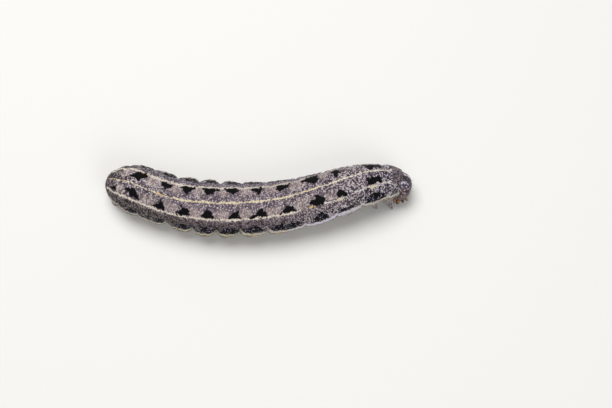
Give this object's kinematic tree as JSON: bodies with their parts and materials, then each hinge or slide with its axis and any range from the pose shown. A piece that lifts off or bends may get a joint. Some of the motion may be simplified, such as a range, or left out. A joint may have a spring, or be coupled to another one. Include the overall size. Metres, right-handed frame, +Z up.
{
  "type": "common cutworm larva",
  "caption": "Life-size still model of a plump, patterned cutworm larva resting on its prolegs in a gentle bend, head tucked down.",
  "frame": {"origin": "middle of the overall box, on the floor that the larva rests on", "axes": "+X towards the head along the body, +Y towards the larva's left, +Z up"},
  "size_m": [0.035, 0.0086, 0.0057],
  "materials": {
    "head_capsule": "hard, glossy dark brown capsule with a darker net pattern and pale face lines",
    "mouth_parts": "hard, glossy, near-black brown with paler joints",
    "body_skin": "soft satin skin, finely granular, mauve grey with cream lines and velvety black marks",
    "jointed_legs": "thin hard shell, pale grey brown with dark claws",
    "prolegs": "soft satin skin, pale grey with a brown outer plate"
  },
  "bodies": {
    "root": {"head": "head_capsule", "labrum": "mouth_parts", "labium": "mouth_parts", "mandible_left": "mouth_parts", "mandible_right": "mouth_parts", "maxilla_left": "mouth_parts", "maxilla_right": "mouth_parts", "antenna_left": "mouth_parts", "antenna_right": "mouth_parts", "thorax_1": "body_skin", "thorax_2": "body_skin", "thorax_3": "body_skin", "abdomen_1": "body_skin", "abdomen_2": "body_skin", "abdomen_3": "body_skin", "abdomen_4": "body_skin", "abdomen_5": "body_skin", "abdomen_6": "body_skin", "abdomen_7": "body_skin", "abdomen_8": "body_skin", "abdomen_9": "body_skin", "abdomen_10": "body_skin", "leg_1_left": "jointed_legs", "leg_1_right": "jointed_legs", "leg_2_left": "jointed_legs", "leg_2_right": "jointed_legs", "leg_3_left": "jointed_legs", "leg_3_right": "jointed_legs", "proleg_3_left": "prolegs", "proleg_3_right": "prolegs", "proleg_4_left": "prolegs", "proleg_4_right": "prolegs", "proleg_5_left": "prolegs", "proleg_5_right": "prolegs", "proleg_6_left": "prolegs", "proleg_6_right": "prolegs", "proleg_10_left": "prolegs", "proleg_10_right": "prolegs"}
  },
  "joints": []
}
